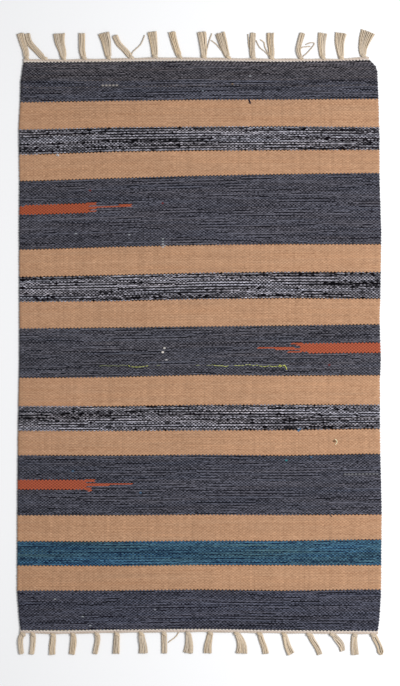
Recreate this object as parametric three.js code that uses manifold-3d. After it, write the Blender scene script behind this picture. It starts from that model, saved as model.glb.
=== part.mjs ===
// Hand-woven striped kilim rug with knotted cotton fringes, lying flat on its underside.
// Millimetres. X runs across the rug, Y along it and Z up from the surface it lies on.
// The tables give places as measured from the middle of the woven cloth.
import * as THREE from 'three';
import { mergeVertices } from 'three/addons/utils/BufferGeometryUtils.js';
import Module from 'manifold-3d';

const wasm = await Module();
wasm.setup();

// Driving dimensions of the woven cloth
const CLOTH_THICKNESS = 4;
const EDGE_ROUNDING = 1.5;
const EDGE_ROUNDING_STEPS = 2;

// Driving dimensions of the heading strips, which hold the warp ends together beyond the cloth
const PIECE_GAP = 0.3;
const HEADING_WIDTH = 5;
const HEADING_THICKNESS = 3;

// Driving dimensions of the fringe yarns, flat below so that they rest level
const YARN_WIDTH = 2.3;
const YARN_TOP_WIDTH = 1.5;
const YARN_HEIGHT = 1.7;
const YARN_GAP = 0.35;
const YARN_STEPS = 3;
const YARN_ROOT_DEPTH = 0.6;
const MOST_LOWER_YARNS = 4;
const MOST_UPPER_YARNS = 3;
const TIP_UNEVENNESS = 2.4;
const LOOSE_YARN_STEPS = 7;
const LOOPED_ROWS = 2;
const LOOP_EYE_HALF_WIDTH = 0.5;
const LOOP_LEAN = 0.3;
const LOOP_END_STEPS = 12;

// Driving dimensions of the knot at the root of each tassel
const KNOT_HALF_WIDTH = 5.2;
const KNOT_HALF_LENGTH = 3.8;
const KNOT_HEIGHT = 5.4;
const KNOT_BEYOND_HEADING = 1.4;
const KNOT_SIDES = 6;
const KNOT_RINGS = 3;

const FRINGE_COLOUR = 0xcbbb9f;
const CLOTH_COLOUR = 0x4a474f;

/** Turns rows of numbers into objects whose keys are the column names. */
function table(columns, rows) {
  return rows.map((row) => Object.fromEntries(columns.map((column, i) => [column, row[i]])));
}

// The cloth's outline: the two selvedges from the far end to the near one, then the two woven ends
const LEFT_SELVEDGE = table(['along', 'across'], [
  [435, -296.2], [406, -296.7], [356, -299.3], [274, -298], [208, -298.6], [76, -298.3],
  [-24, -298.3], [-123, -300.1], [-205, -301], [-288, -301.6], [-406, -301.9], [-453, -298.2],
]);
const RIGHT_SELVEDGE = table(['along', 'across'], [
  [461.6, 290.4], [451.7, 292.9], [408.8, 294.5], [348, 296.2], [274, 296.5], [208, 298.6],
  [183, 299.3], [76, 297.7], [42, 296.5], [-24, 298.6], [-56, 297], [-139, 297.3],
  [-180, 297.8], [-279, 300.1], [-320, 299.5], [-405, 299], [-453, 296.2],
]);
const FAR_END = table(['across', 'along'], [
  [-291.2, 468.4], [-231, 467.4], [-140, 469], [-82, 470.7], [0, 470.5], [99, 469],
  [140, 468.8], [231, 468.5], [272, 471.5], [278.8, 472],
]);
const NEAR_END = table(['across', 'along'], [
  [-296.7, -469], [-280, -469.7], [-231, -470.7], [-140, -468.7], [0, -467.5],
  [140, -469.7], [272, -470.7], [293.7, -471.2],
]);

// The tassels: where each one's middle lies across the rug at its knot, a third and two thirds
// of the way along and at its tips, how wide its tips spread, and how far it reaches
const TASSEL_COLUMNS = ['root', 'near', 'far', 'tip', 'spread', 'reach', 'looped'];
const FAR_TASSELS = table(TASSEL_COLUMNS, [
  [-286, -288.1, -293.7, -298, 9, 43],
  [-255.8, -268.9, -281.5, -285.5, 9, 44],
  [-225.2, -227, -231.2, -232.8, 19.8, 44],
  [-191.4, -194.7, -195, -195, 11.2, 44],
  [-150.5, -152.6, -154.9, -159.2, 19.8, 44],
  [-113, -122.4, -134.3, -140.6, 9.9, 39],
  [-74.2, -75.2, -77.1, -79.4, 15.5, 44],
  [-33, -38.8, -43.2, -46.2, 12.5, 44],
  [6.6, 6.1, 4.6, 2.5, 15.5, 44],
  [47, 41.6, 37.1, 33, 17, 43],
  [87.9, 86.6, 86.5, 87.6, 9.9, 44],
  [118.5, 118, 116.5, 116.3, 12.5, 44],
  [166.6, 162.4, 165.3, 169.1, 7.3, 44],
  [203.4, 201.5, 201.1, 202.9, 15.5, 44],
  [233.6, 231.7, 231, 233, 19.8, 44],
  [270.3, 269.1, 272.2, 277.5, 24.8, 44],
]);
const NEAR_TASSELS = table(TASSEL_COLUMNS, [
  [-292.1, -296.5, -296.3, -294.9, 7.1, 36],
  [-275.6, -275.7, -276.7, -278, 8.6, 36],
  [-242.5, -242.5, -243.9, -244.4, 11.5, 36],
  [-209.5, -209.1, -209.7, -211.5, 11.1, 36],
  [-170.3, -169.1, -170.8, -173.2, 6.9, 36],
  [-137.3, -137.3, -137.9, -139.3, 12.2, 36],
  [-97.3, -95.7, -94, -94, 15.7, 36],
  [-59.4, -58.9, -58.6, -59.1, 9.6, 36],
  [-19.8, -18.1, -18.1, -20, 16.2, 36],
  [17.3, 15.3, 13.2, 12.7, 14, 36],
  [60.2, 66.5, 69.1, 68.1, 19.8, 36],
  [98.2, 101.6, 106.1, 108.9, 10.7, 36],
  [138.6, 141.9, 144.9, 150.2, 13.2, 36],
  [179.8, 185.6, 193.4, 198.5, 9.9, 36],
  [217.8, 225.7, 233.3, 235.9, 9.9, 30],
  [255.8, 254.4, 254.6, 255.8, 13.2, 36],
  [285.5, 290.6, 295.7, 298, 11.5, 35, true],
]);

// Yarns that have strayed from their tassels: points across the rug, and beyond the heading's rim
const FAR_LOOSE_YARNS = [
  table(['across', 'beyond'], [[-113, 4], [-111, 10], [-99.3, 21], [-94.9, 28.5], [-91.2, 38]]),
  table(['across', 'beyond'], [[9.1, 4], [12.6, 17.5], [16.4, 30.7], [19.8, 40.3]]),
  table(['across', 'beyond'], [[44, 3], [33.5, 15], [27.6, 22.3], [18.6, 29.2]]),
  table(['across', 'beyond'], [[86, 3], [80.9, 19.8], [79.9, 31.4], [79.2, 40.3]]),
  table(['across', 'beyond'], [[115, 3], [107.1, 11.6], [98.3, 19], [92.7, 30.5]]),
  table(['across', 'beyond'], [[115, 4], [107.7, 18.2], [105.9, 26.4], [99.5, 31.4]]),
  table(['across', 'beyond'], [[168, 2], [178.2, 10.7], [188.8, 24.1], [184, 26.5], [174.5, 23.4]]),
];
const NEAR_LOOSE_YARNS = [
  table(['across', 'beyond'], [[-34, -1.5], [-39.9, 7.3], [-49.5, 14.7], [-52, 17.3]]),
];

const YARN_PITCH = YARN_WIDTH + YARN_GAP;
const LOWER_LAYER = { z: YARN_HEIGHT / 2, topWidth: YARN_TOP_WIDTH };
const UPPER_LAYER = { z: LOWER_LAYER.z + YARN_HEIGHT + YARN_GAP, topWidth: 0 };
const STATION_SHARES = [0, 1 / 3, 2 / 3, 1];
const GOLDEN_ANGLE = Math.PI * (3 - Math.sqrt(5));

/** A fixed value from 0 to 1 for a yarn's number, which makes its length its own. */
function unevenness(number) {
  return 0.5 + 0.5 * Math.sin(number * GOLDEN_ANGLE + Math.PI * Math.sin(2 * number * GOLDEN_ANGLE));
}

/** Where a woven end lies along the rug at a place across it. */
function endAt(end, across) {
  const last = end.length - 1;
  let i = 1;
  while (i < last && end[i].across < across) i += 1;
  const share = (across - end[i - 1].across) / (end[i].across - end[i - 1].across);
  return end[i - 1].along + (end[i].along - end[i - 1].along) * THREE.MathUtils.clamp(share, 0, 1);
}

/** Only a geometry's places, with the vertices that its faces share merged. */
function mergedPlaces(geometry) {
  const places = geometry.clone();
  places.deleteAttribute('normal');
  places.deleteAttribute('uv');
  return mergeVertices(places);
}

/** A closed geometry as a solid that can be joined with others. */
function solidFrom(geometry) {
  const merged = mergedPlaces(geometry);
  return new wasm.Manifold(new wasm.Mesh({
    numProp: 3,
    vertProperties: new Float32Array(merged.attributes.position.array),
    triVerts: new Uint32Array(merged.index.array),
  }));
}

/** A joined solid as a geometry again. */
function geometryFrom(solid) {
  const mesh = solid.getMesh();
  const geometry = new THREE.BufferGeometry();
  geometry.setAttribute('position', new THREE.BufferAttribute(mesh.vertProperties, mesh.numProp));
  geometry.setIndex(new THREE.BufferAttribute(mesh.triVerts, 1));
  geometry.computeVertexNormals();
  return geometry;
}

/** The woven cloth: its uneven outline as one flat slab with soft edges all round. */
function wovenCloth() {
  const outline = new THREE.Shape([
    ...NEAR_END.map(({ across, along }) => new THREE.Vector2(across, along)),
    ...RIGHT_SELVEDGE.toReversed().map(({ across, along }) => new THREE.Vector2(across, along)),
    ...FAR_END.toReversed().map(({ across, along }) => new THREE.Vector2(across, along)),
    ...LEFT_SELVEDGE.map(({ across, along }) => new THREE.Vector2(across, along)),
  ]);
  const slab = new THREE.ExtrudeGeometry(outline, {
    depth: CLOTH_THICKNESS - 2 * EDGE_ROUNDING,
    bevelThickness: EDGE_ROUNDING,
    bevelSize: EDGE_ROUNDING,
    bevelOffset: -EDGE_ROUNDING,
    bevelSegments: EDGE_ROUNDING_STEPS,
  });
  slab.translate(0, 0, EDGE_ROUNDING);
  return slab;
}

/** The strip of twined warp ends that follows one woven end. */
function headingStrip(end, side) {
  const edge = (beyond) => end.map(({ across, along }) => new THREE.Vector2(across, along + side * beyond));
  const outline = new THREE.Shape([...edge(PIECE_GAP), ...edge(PIECE_GAP + HEADING_WIDTH).toReversed()]);
  return new THREE.ExtrudeGeometry(outline, { depth: HEADING_THICKNESS, bevelEnabled: false });
}

/** Where the heading strip's outer rim lies along the rug. */
function rimAt(end, side, across) {
  return endAt(end, across) + side * (PIECE_GAP + HEADING_WIDTH);
}

/** A yarn along a level path: its section has a wide side down, and a narrow one or an edge up. */
function yarn(points, z, steps, topWidth = YARN_TOP_WIDTH) {
  const half = YARN_HEIGHT / 2;
  const base = [new THREE.Vector2(half, -YARN_WIDTH / 2), new THREE.Vector2(half, YARN_WIDTH / 2)];
  const top = topWidth > 0
    ? [new THREE.Vector2(-half, topWidth / 2), new THREE.Vector2(-half, -topWidth / 2)]
    : [new THREE.Vector2(-half, 0)];
  const section = new THREE.Shape([...base, ...top]);
  const path = new THREE.CatmullRomCurve3(points.map(({ x, y }) => new THREE.Vector3(x, y, z)));
  return new THREE.ExtrudeGeometry(section, { steps, extrudePath: path });
}

/** The rounded knot at a tassel's root, resting on the surface. */
function knot(across, rim, side) {
  const ball = new THREE.SphereGeometry(1, KNOT_SIDES, KNOT_RINGS);
  ball.rotateX(Math.PI / 2);
  ball.scale(KNOT_HALF_WIDTH, KNOT_HALF_LENGTH, KNOT_HEIGHT / 2);
  ball.translate(across, rim + side * KNOT_BEYOND_HEADING, KNOT_HEIGHT / 2);
  return ball;
}

/** The places of one yarn, set off to the side of its tassel's middle line. */
function yarnPlaces(tassel, rim, side, sideways, length) {
  const middle = new THREE.SplineCurve(STATION_SHARES.map((share, i) => new THREE.Vector2(
    [tassel.root, tassel.near, tassel.far, tassel.tip][i],
    rim + side * (length * share - YARN_ROOT_DEPTH),
  )));
  const places = [];
  for (let i = 0; i <= YARN_STEPS; i += 1) {
    const share = i / YARN_STEPS;
    const heading = middle.getTangent(share);
    const offset = sideways(share);
    const rightward = new THREE.Vector2(heading.y, -heading.x);
    places.push(middle.getPoint(share).addScaledVector(rightward, offset));
  }
  return places;
}

/** One layer of a tassel's yarns, side by side, fanning out towards their tips. */
function yarnLayer(tassel, rim, side, count, pitches, layer, firstNumber) {
  const yarns = [];
  for (let i = 0; i < count; i += 1) {
    const place = i - (count - 1) / 2;
    const sideways = (share) => place * THREE.MathUtils.lerp(pitches.root, pitches.tip, share);
    const length = tassel.reach - TIP_UNEVENNESS * unevenness(firstNumber + i);
    const places = yarnPlaces(tassel, rim, side, sideways, length);
    yarns.push(yarn(places, layer.z, YARN_STEPS, layer.topWidth));
  }
  return yarns;
}

/** A tassel whose yarns turn back in nested round loops at its tip instead of ending. */
function loopedYarns(tassel, rim, side, layer) {
  const yarns = [];
  for (let row = 0; row < LOOPED_ROWS; row += 1) {
    const offset = LOOP_EYE_HALF_WIDTH + (row + 0.5) * YARN_PITCH;
    const length = tassel.reach - (LOOPED_ROWS - 1 - row) * YARN_PITCH - offset;
    const leg = yarnPlaces(tassel, rim, side, () => offset, length);
    const backLeg = yarnPlaces(tassel, rim, side, () => -offset, length);
    const turn = leg[leg.length - 1].clone().lerp(backLeg[backLeg.length - 1], 0.5);
    turn.x += Math.sign(turn.x) * offset * LOOP_LEAN;
    turn.y += side * offset;
    const places = [...leg, turn, ...backLeg.toReversed()];
    yarns.push(yarn(places, layer.z, LOOP_END_STEPS, layer.topWidth));
  }
  return yarns;
}

/** A knotted tassel: its knot, a lower layer of yarns on the surface and an upper layer on them. */
function tasselPieces(tassel, rim, side, number) {
  const pieces = [knot(tassel.root, rim, side)];
  if (tassel.looped) {
    pieces.push(...loopedYarns(tassel, rim, side, LOWER_LAYER));
    pieces.push(...loopedYarns(tassel, rim, side, UPPER_LAYER));
    return pieces;
  }
  const fitting = Math.round(tassel.spread / YARN_PITCH);
  const lower = THREE.MathUtils.clamp(fitting, MOST_UPPER_YARNS, MOST_LOWER_YARNS);
  const upper = Math.min(lower - 1, MOST_UPPER_YARNS);
  const tipPitch = Math.max(YARN_PITCH, (tassel.spread - YARN_WIDTH) / (lower - 1));
  const pitches = { root: YARN_PITCH, tip: tipPitch };
  const firstNumber = number * (MOST_LOWER_YARNS + MOST_UPPER_YARNS);
  pieces.push(...yarnLayer(tassel, rim, side, lower, pitches, LOWER_LAYER, firstNumber));
  pieces.push(...yarnLayer(tassel, rim, side, upper, pitches, UPPER_LAYER, firstNumber + lower));
  return pieces;
}

/** One fringe: heading strip, tassels and strayed yarns, joined at their roots. */
function fringe(end, side, tassels, looseYarns) {
  const pieces = [headingStrip(end, side)];
  tassels.forEach((tassel, i) => {
    pieces.push(...tasselPieces(tassel, rimAt(end, side, tassel.root), side, i));
  });
  for (const loose of looseYarns) {
    const rim = rimAt(end, side, loose[0].across);
    const points = loose.map(({ across, beyond }) => new THREE.Vector2(across, rim + side * beyond));
    pieces.push(yarn(points, LOWER_LAYER.z, LOOSE_YARN_STEPS));
  }
  const joined = pieces.map(solidFrom).reduce((whole, piece) => whole.add(piece));
  return geometryFrom(joined);
}

/** A named mesh of one woven or yarn piece. */
function piece(name, geometry, colour, roughness) {
  const material = new THREE.MeshStandardMaterial({ color: colour, roughness, metalness: 0 });
  const mesh = new THREE.Mesh(geometry, material);
  mesh.name = name;
  return mesh;
}

const rug = new THREE.Group();
rug.name = 'kilim_rug';
rug.add(piece('woven_cloth', wovenCloth(), CLOTH_COLOUR, 0.95));
rug.add(piece('far_fringe', fringe(FAR_END, 1, FAR_TASSELS, FAR_LOOSE_YARNS), FRINGE_COLOUR, 0.9));
rug.add(piece('near_fringe', fringe(NEAR_END, -1, NEAR_TASSELS, NEAR_LOOSE_YARNS), FRINGE_COLOUR, 0.9));

// The origin is the middle of the whole rug's footprint, at the surface that it lies on
const middle = new THREE.Box3().setFromObject(rug).getCenter(new THREE.Vector3());
rug.position.set(-middle.x, -middle.y, 0);

export default rug;
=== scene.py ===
"""Hand-woven striped kilim rug with knotted cotton fringes, dressed over its solid model.

The tables are in millimetres from the middle of the woven cloth, and the meshes in metres.
Across is +X, along is +Y towards the far end, and up is +Z from the surface that the rug lies on.
"""

import logging
import math
from collections.abc import Callable, Sequence
from dataclasses import dataclass, field
from enum import Enum
from typing import NamedTuple, TypeVar

import bpy
import numpy as np
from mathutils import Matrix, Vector


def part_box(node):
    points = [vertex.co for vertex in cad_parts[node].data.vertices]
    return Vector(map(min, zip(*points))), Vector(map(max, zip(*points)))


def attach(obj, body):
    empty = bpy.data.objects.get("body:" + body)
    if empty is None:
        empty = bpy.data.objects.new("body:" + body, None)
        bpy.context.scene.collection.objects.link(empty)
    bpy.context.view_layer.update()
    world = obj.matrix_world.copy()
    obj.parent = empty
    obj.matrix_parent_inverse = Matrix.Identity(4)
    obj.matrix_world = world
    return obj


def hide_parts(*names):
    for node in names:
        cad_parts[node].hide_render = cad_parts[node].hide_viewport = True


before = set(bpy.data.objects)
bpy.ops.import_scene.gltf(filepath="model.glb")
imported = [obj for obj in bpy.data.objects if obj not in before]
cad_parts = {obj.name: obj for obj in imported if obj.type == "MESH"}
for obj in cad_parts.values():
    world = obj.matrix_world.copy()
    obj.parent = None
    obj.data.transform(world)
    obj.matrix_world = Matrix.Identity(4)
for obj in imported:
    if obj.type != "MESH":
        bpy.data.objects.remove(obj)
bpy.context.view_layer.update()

LOG = logging.getLogger("kilim")
MILLIMETRE = 0.001
BODY = "root"
TINY = 1e-9

Row = TypeVar("Row", bound=tuple)


def table(kind: Callable[..., Row], *rows: Sequence[object]) -> tuple[Row, ...]:
    """Names the columns of a table.

    Args:
        kind: The named tuple that each row becomes.
        rows: The rows, each with its values in the order of the columns.

    Returns:
        The named rows.
    """
    return tuple(kind(*row) for row in rows)


class EdgePoint(NamedTuple):
    """A point of a selvedge."""

    along: float
    across: float


class EndPoint(NamedTuple):
    """A point of a woven end."""

    across: float
    along: float


LEFT_SELVEDGE = table(
    EdgePoint,
    (468.4, -291.5), (435, -296.2), (406, -296.7), (356, -299.3), (274, -298), (208, -298.6), (76, -298.3),
    (-24, -298.3), (-123, -300.1), (-205, -301), (-288, -301.6), (-406, -301.9), (-453, -298.2),
    (-469.2, -296.7),
)
RIGHT_SELVEDGE = table(
    EdgePoint,
    (472, 279.5), (461.6, 290.4), (451.7, 292.9), (408.8, 294.5), (348, 296.2), (274, 296.5), (208, 298.6),
    (183, 299.3), (76, 297.7), (42, 296.5), (-24, 298.6), (-56, 297), (-139, 297.3), (-180, 297.8),
    (-279, 300.1), (-320, 299.5), (-405, 299), (-453, 296.2), (-471.2, 293.7),
)
FAR_END = table(
    EndPoint,
    (-291.2, 468.4), (-231, 467.4), (-140, 469), (-82, 470.7), (0, 470.5), (99, 469), (140, 468.8),
    (231, 468.5), (272, 471.5), (278.8, 472),
)
NEAR_END = table(
    EndPoint,
    (-296.7, -469), (-280, -469.7), (-231, -470.7), (-140, -468.7), (0, -467.5), (140, -469.7),
    (272, -470.7), (293.7, -471.2),
)

# Where the borders between stripes lie along the rug, at five places across it
BORDER_STATIONS = (-280.5, -140.25, 0, 140.25, 272.25)
BORDERS = (
    (467.9, 469.0, 470.5, 468.8, 471.5),
    (402.0, 404.2, 406.0, 406.3, 407.5),
    (357.0, 360.3, 361.6, 362.4, 360.9),
    (315.4, 320.3, 322.2, 322.8, 323.3),
    (272.0, 276.5, 280.7, 283.2, 284.9),
    (158.8, 163.1, 166.2, 167.7, 167.4),
    (113.8, 116.7, 120.4, 122.0, 121.7),
    (72.5, 73.8, 77.0, 78.3, 77.6),
    (28.5, 29.9, 31.6, 33.4, 35.2),
    (-53.0, -51.9, -48.1, -49.4, -48.8),
    (-99.6, -99.9, -97.6, -97.3, -97.3),
    (-140.5, -140.7, -139.7, -139.2, -137.2),
    (-180.9, -181.1, -179.9, -181.3, -178.6),
    (-279.8, -279.9, -278.8, -279.3, -278.8),
    (-322.8, -323.2, -322.0, -322.0, -319.9),
    (-362.8, -363.4, -361.9, -362.3, -362.4),
    (-404.2, -404.0, -402.5, -404.2, -402.5),
    (-469.7, -468.7, -467.5, -469.7, -470.7),
)


class Weft(Enum):
    """The weft yarns of the stripes; each value is the record's slot for its finish."""

    NAVY = "navy_weft"
    TAN = "tan_weft"
    MELANGE = "melange_weft"
    TEAL = "teal_weft"


STRIPES = (
    *(Weft.NAVY, Weft.TAN, Weft.MELANGE, Weft.TAN) * 3,
    Weft.NAVY, Weft.TAN, Weft.TEAL, Weft.TAN, Weft.NAVY,
)


def dye(red: float, green: float, blue: float) -> np.ndarray:
    """A display colour from 0 to 255 as the linear colour that a material takes, by the sRGB curve."""
    shown = np.array([red, green, blue], dtype=float) / 255
    return np.where(shown <= 0.04045, shown / 12.92, ((shown + 0.055) / 1.055) ** 2.4)


def drift(
    rng: np.random.Generator, rows: int, columns: int, along: float, across: float
) -> np.ndarray:
    """A field of smooth seeded noise over the floats of a stripe.

    Args:
        rng: The seeded source of the noise.
        rows: How many picks the stripe has.
        columns: How many warps it has.
        along: The length over which the noise changes along the rug, in picks.
        across: The same across the rug, in warps.

    Returns:
        An array of rows by columns with mean 0 and deviation 1.
    """
    margin = 3
    tall = rows + 2 * margin * math.ceil(along)
    wide = columns + 2 * margin * math.ceil(across)
    noise = rng.standard_normal((tall, wide))
    for axis, length in ((0, along), (1, across)):
        if length > 0:
            reach = np.arange(-margin * math.ceil(length), margin * math.ceil(length) + 1)
            kernel = np.exp(-0.5 * (reach / length) ** 2)
            noise = np.apply_along_axis(np.convolve, axis, noise, kernel, mode="valid")
    noise = noise[:rows, :columns]
    return (noise - noise.mean()) / max(noise.std(), TINY)


class Run(NamedTuple):
    """How far a variation runs: along in picks, and across as a share of its yarn's own run."""

    along: float
    across: float


@dataclass(frozen=True)
class MarledYarn:
    """A weft yarn of two differently dyed strands that lie side by side in each pick.

    Where neighbouring picks hold their strands in the same order, the floats make a lattice of
    dots, and where the order is opposite the strands meet in straight lines. The shares are from
    0, all of the dark strand, to 1, all of the light one. Lengths are in warps and picks. The
    shades are painted shade: how much of a float's colour shows away from its middle, towards its
    ends, in the valleys between floats, and in the pits where it turns under a warp, where the
    grooves fall in shadow.
    """

    dark: tuple[float, float, float]
    light: tuple[float, float, float]
    contrast: float
    cover: float = 0.5
    streak: float = 0.15
    grain: float = 0.12
    tone: float = 0.05
    line_weight: float = 1.0
    lines_at_sides: float = 0.4
    more_lines_inside: float = 1.1
    run_across: float = 11
    run_along: float = 1.3
    streak_run: Run = Run(0.7, 1.5)
    tone_run: Run = Run(3, 2.5)
    hue_run: Run = Run(0.5, 1)
    # Painted shade: how dark a float is drawn towards its ends, in its valleys and in its pits
    painted_end_shade: float = 0.95
    painted_valley_shade: float = 0.8
    painted_pit_shade: float = 0.4
    rib: float = 0.0
    hue: float = 0.0

    def order(self, rng: np.random.Generator, lining: np.ndarray, columns: int) -> np.ndarray:
        """Which strand of each float lies farther: picks agree in lattices, and turn in lines.

        Args:
            rng: The seeded source of the variation.
            lining: How readily each pick's strands meet in lines, 1 where it is usual.
            columns: How many warps the stripe has.

        Returns:
            1 or -1 for each float, picks by warps.
        """
        rows = len(lining)
        alternate = np.where(np.arange(rows) % 2 == 0, 1.0, -1.0)
        inside = np.sin(math.pi * (np.arange(columns) + 0.5) / columns)
        readiness = self.lines_at_sides + self.more_lines_inside * inside
        weight = self.line_weight * np.outer(alternate * lining, readiness)
        lined = drift(rng, rows, columns, self.run_along, self.run_across)
        latticed = drift(rng, rows, columns, self.run_along, self.run_across)
        return np.sign(weight * lined + latticed)

    def colours(self, rng: np.random.Generator, lining: np.ndarray, columns: int) -> np.ndarray:
        """The colours of each float's two strands.

        Args:
            rng: The seeded source of the variation.
            lining: How readily each pick's strands meet in lines, 1 where it is usual.
            columns: How many warps the stripe has.

        Returns:
            Linear colours, 2 by picks by warps by 3, the farther strand first.
        """
        rows = len(lining)

        def varied(run: Run) -> np.ndarray:
            """Smooth variation over the floats."""
            return drift(rng, rows, columns, run.along, run.across * self.run_across)

        order = self.order(rng, lining, columns)
        covering = self.streak * varied(self.streak_run)
        tone = np.exp(self.tone * varied(self.tone_run) + self.rib * rng.standard_normal(columns))
        warmth = self.hue * varied(self.hue_run)
        cast = np.stack([1 + warmth, np.ones_like(warmth), 1 - warmth], axis=2)
        strands = []
        for side in (1, -1):
            grain = self.grain * rng.standard_normal((rows, columns))
            share = self.cover + side * order * self.contrast / 2 + covering + grain
            share = np.clip(share, 0, 1)[:, :, None]
            mixed = dye(*self.dark) * (1 - share) + dye(*self.light) * share
            strands.append(mixed * tone[:, :, None] * cast)
        return np.stack(strands)


# The end, valley and pit shades of each yarn are painted shade in the grooves between its floats
YARNS = {
    Weft.NAVY: MarledYarn(
        dark=(19, 19, 27), light=(120, 119, 130), contrast=0.62, cover=0.39, streak=0.04, grain=0.16,
        tone=0.035, line_weight=0.45, run_across=9, painted_end_shade=0.85, painted_valley_shade=0.6, painted_pit_shade=0.25,
        hue=0.02,
    ),
    Weft.TAN: MarledYarn(
        dark=(150, 111, 84), light=(202, 160, 127), contrast=0.22, streak=0.03, grain=0.1, tone=0.006,
        line_weight=0.3, painted_end_shade=0.98, painted_valley_shade=0.9, painted_pit_shade=0.65, rib=0.03, hue=0.01,
    ),
    Weft.MELANGE: MarledYarn(
        dark=(8, 5, 12), light=(245, 241, 255), contrast=2.0, cover=-0.64, streak=0.12, grain=0.17,
        tone=0.03, line_weight=1.1, run_across=13, painted_end_shade=0.85, painted_valley_shade=0.5, painted_pit_shade=0.05,
        hue=0.015,
    ),
    Weft.TEAL: MarledYarn(
        dark=(12, 31, 59), light=(87, 130, 153), contrast=0.5, cover=0.39, streak=0.06, grain=0.16,
        line_weight=0.7, painted_end_shade=0.85, painted_valley_shade=0.7, painted_pit_shade=0.3, hue=0.08,
    ),
}


class DyeLot(NamedTuple):
    """How a stripe's colour and lining differ from the usual, down to a share of its length."""

    stripe: int
    until: float
    cast: tuple[float, float, float]
    lining: float = 1.0


DYE_LOTS = (
    DyeLot(1, 0.6, (1.08, 1.02, 0.95), 0.3),
    DyeLot(1, 1.0, (0.96, 0.98, 1.02), 1.1),
    DyeLot(5, 1.0, (1.0, 1.0, 1.02)),
    DyeLot(13, 1.0, (0.94, 0.96, 1.0)),
    DyeLot(17, 1.0, (0.86, 0.9, 1.0)),
)


@dataclass(frozen=True)
class Stroke:
    """A tapered stroke of inlaid yarn: where its middle line runs, and half its breadth.

    A fine stroke takes single strands of the picks, and a broad one whole picks.
    """

    start: tuple[float, float]
    end: tuple[float, float]
    start_half: float
    end_half: float
    fine: bool

    def covers(self, across: np.ndarray, along: np.ndarray) -> np.ndarray:
        """Which of the places the stroke covers.

        Args:
            across: Places across the rug, in millimetres.
            along: Places along the rug, in millimetres.

        Returns:
            True where the stroke lies.
        """
        share = (across - self.start[0]) / (self.end[0] - self.start[0])
        middle = self.start[1] + (self.end[1] - self.start[1]) * share
        half = self.start_half + (self.end_half - self.start_half) * share
        return (share >= 0) & (share <= 1) & (np.abs(along - middle) <= half)


# The photograph: millimetres for each of its pixels, its height, and the pixel at the cloth's middle
PHOTO_SCALE = 1.65
PHOTO_HEIGHT = 686
PHOTO_MIDDLE = (200, 345.75)

# The half breadth, in the photograph's pixels, below which an inlaid stroke is of single strands
FINE_HALF = 2


def from_photo(x: float, y: float) -> tuple[float, float]:
    """The place on the rug, in millimetres, of a point given in pixels of the photograph."""
    return (x - PHOTO_MIDDLE[0]) * PHOTO_SCALE, (PHOTO_MIDDLE[1] - y) * PHOTO_SCALE


def photo_stroke(
    start: tuple[float, float], end: tuple[float, float], start_half: float, end_half: float
) -> Stroke:
    """A stroke whose sizes are given in pixels of the photograph."""
    halves = (start_half * PHOTO_SCALE, end_half * PHOTO_SCALE)
    return Stroke(from_photo(*start), from_photo(*end), *halves, fine=start_half < FINE_HALF)


@dataclass(frozen=True)
class Inlay:
    """A spear-shaped inset of another yarn: a bar, two tines and a slender shaft."""

    strokes: tuple[Stroke, ...]
    base: tuple[float, float, float]
    unevenness: float = 0.03

    def mask(self, across: np.ndarray, along: np.ndarray, beside: float) -> np.ndarray:
        """Which strands hold the inset's yarn.

        Args:
            across: The floats' places across the rug, in millimetres.
            along: Their places along it.
            beside: How far along the rug the strand lies from its float's middle.

        Returns:
            True where the strand is the inset's.
        """
        covered = np.zeros(across.shape, dtype=bool)
        for stroke in self.strokes:
            covered |= stroke.covers(across, along + (beside if stroke.fine else 0))
        return covered


INLAYS = (
    Inlay(
        (
            photo_stroke((12, 210.7), (89.5, 207.9), 4.4, 4.4),
            photo_stroke((88, 203.7), (96.3, 203.6), 1.1, 0.9),
            photo_stroke((88, 211.3), (96.2, 211.1), 1.2, 1.0),
            photo_stroke((88, 207.9), (131.4, 205.6), 0.85, 1.35),
        ),
        (177, 90, 62),
    ),
    Inlay(
        (
            photo_stroke((299.6, 348), (389, 348), 4.5, 4.5),
            photo_stroke((290.2, 343), (301, 344.5), 0.8, 1.3),
            photo_stroke((288.4, 352), (301, 352.2), 1.0, 1.0),
            photo_stroke((258.2, 347.6), (280, 348.4), 1.1, 1.0),
            photo_stroke((280, 348.4), (301, 348.6), 1.0, 0.8),
        ),
        (179, 92, 66),
    ),
    Inlay(
        (
            photo_stroke((10, 485), (85.3, 484.7), 4.4, 4.4),
            photo_stroke((84, 480.6), (94.8, 480.9), 1.2, 0.9),
            photo_stroke((84, 488.6), (91, 488.9), 1.1, 1.1),
            photo_stroke((88, 490.6), (91.2, 490.6), 1.5, 1.3),
            photo_stroke((84, 485), (132.6, 484), 0.9, 1.05),
        ),
        (180, 92, 66),
    ),
)


class Fleck(NamedTuple):
    """One float or a run of them along a pick, of another yarn, in pixels of the photograph."""

    start: float
    end: float
    row: float
    colour: tuple[float, float, float]
    strands: tuple[int, ...] = (0, 1)


def dot(place: float, row: float, colour: tuple[float, float, float], *strands: int) -> Fleck:
    """A fleck of a single float, in both its strands or only in those given."""
    return Fleck(place, place, row, colour, strands or (0, 1))


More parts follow.
